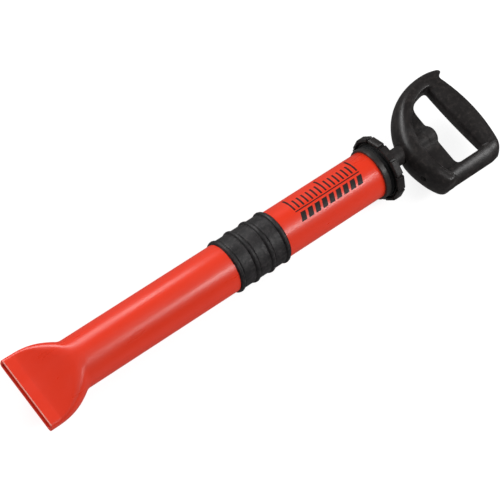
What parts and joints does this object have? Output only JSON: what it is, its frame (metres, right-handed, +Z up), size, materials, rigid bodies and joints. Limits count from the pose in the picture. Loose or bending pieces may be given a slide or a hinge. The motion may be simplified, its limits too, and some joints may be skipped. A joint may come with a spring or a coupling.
{
  "type": "mortar gun",
  "caption": "Hand-pushed mortar gun: round barrel pressed into a wide flat nozzle, ribbed rubber sleeve, lugged screw cap and a D-handled plunger.",
  "frame": {"origin": "middle of the gun's length and width, on the plane that the cap's lowest lug rests on", "axes": "+X along the barrel from the nozzle to the handle, +Z up from the flat of the nozzle and of the handle"},
  "size_m": [0.624, 0.1286, 0.0764],
  "materials": {
    "red_plastic": "smooth moulded, glossy",
    "black_plastic": "satin moulded",
    "black_rubber": "matt",
    "white_plastic": "satin moulded",
    "zinc_steel": "bright zinc plated"
  },
  "bodies": {
    "barrel": {"barrel": "red_plastic", "grip_sleeve": "black_rubber", "thread_collar": "black_plastic"},
    "cap_seal": {"cap_gasket": "black_rubber"},
    "cap": {"end_cap": "black_plastic", "guide_bush": "white_plastic", "rod_wiper": "black_rubber"},
    "piston": {"piston_back_plate": "white_plastic", "piston_cup": "black_rubber", "piston_pressure_plate": "white_plastic"},
    "plunger": {"plunger_rod": "black_plastic", "rod_front_plug": "zinc_steel", "rod_rear_plug": "zinc_steel", "piston_washer": "zinc_steel", "piston_lock_washer": "zinc_steel", "piston_bolt": "zinc_steel", "stop_bumper": "black_rubber", "d_handle": "black_plastic", "handle_washer": "zinc_steel", "handle_lock_washer": "zinc_steel", "handle_bolt": "zinc_steel"}
  },
  "joints": [
    {"name": "cap_travel", "type": "slide", "parent": "barrel", "child": "cap_seal", "axis": [1, 0, 0], "range_m": [0, 0.008]},
    {"name": "cap_turn", "type": "hinge", "parent": "cap_seal", "child": "cap", "pos_m": [0.17, 0, 0.0382], "axis": [1, 0, 0], "range_deg": [0, 720]},
    {"name": "plunger_slide", "type": "slide", "parent": "barrel", "child": "piston", "axis": [1, 0, 0], "range_m": [0, 0.378]},
    {"name": "handle_spin", "type": "hinge", "parent": "piston", "child": "plunger", "pos_m": [-0.221, 0, 0.0382], "axis": [1, 0, 0], "continuous": true}
  ],
  "couplings": [
    {"joint": "cap_travel", "follows": "cap_turn", "m_per_rad": 0.00063662}
  ]
}
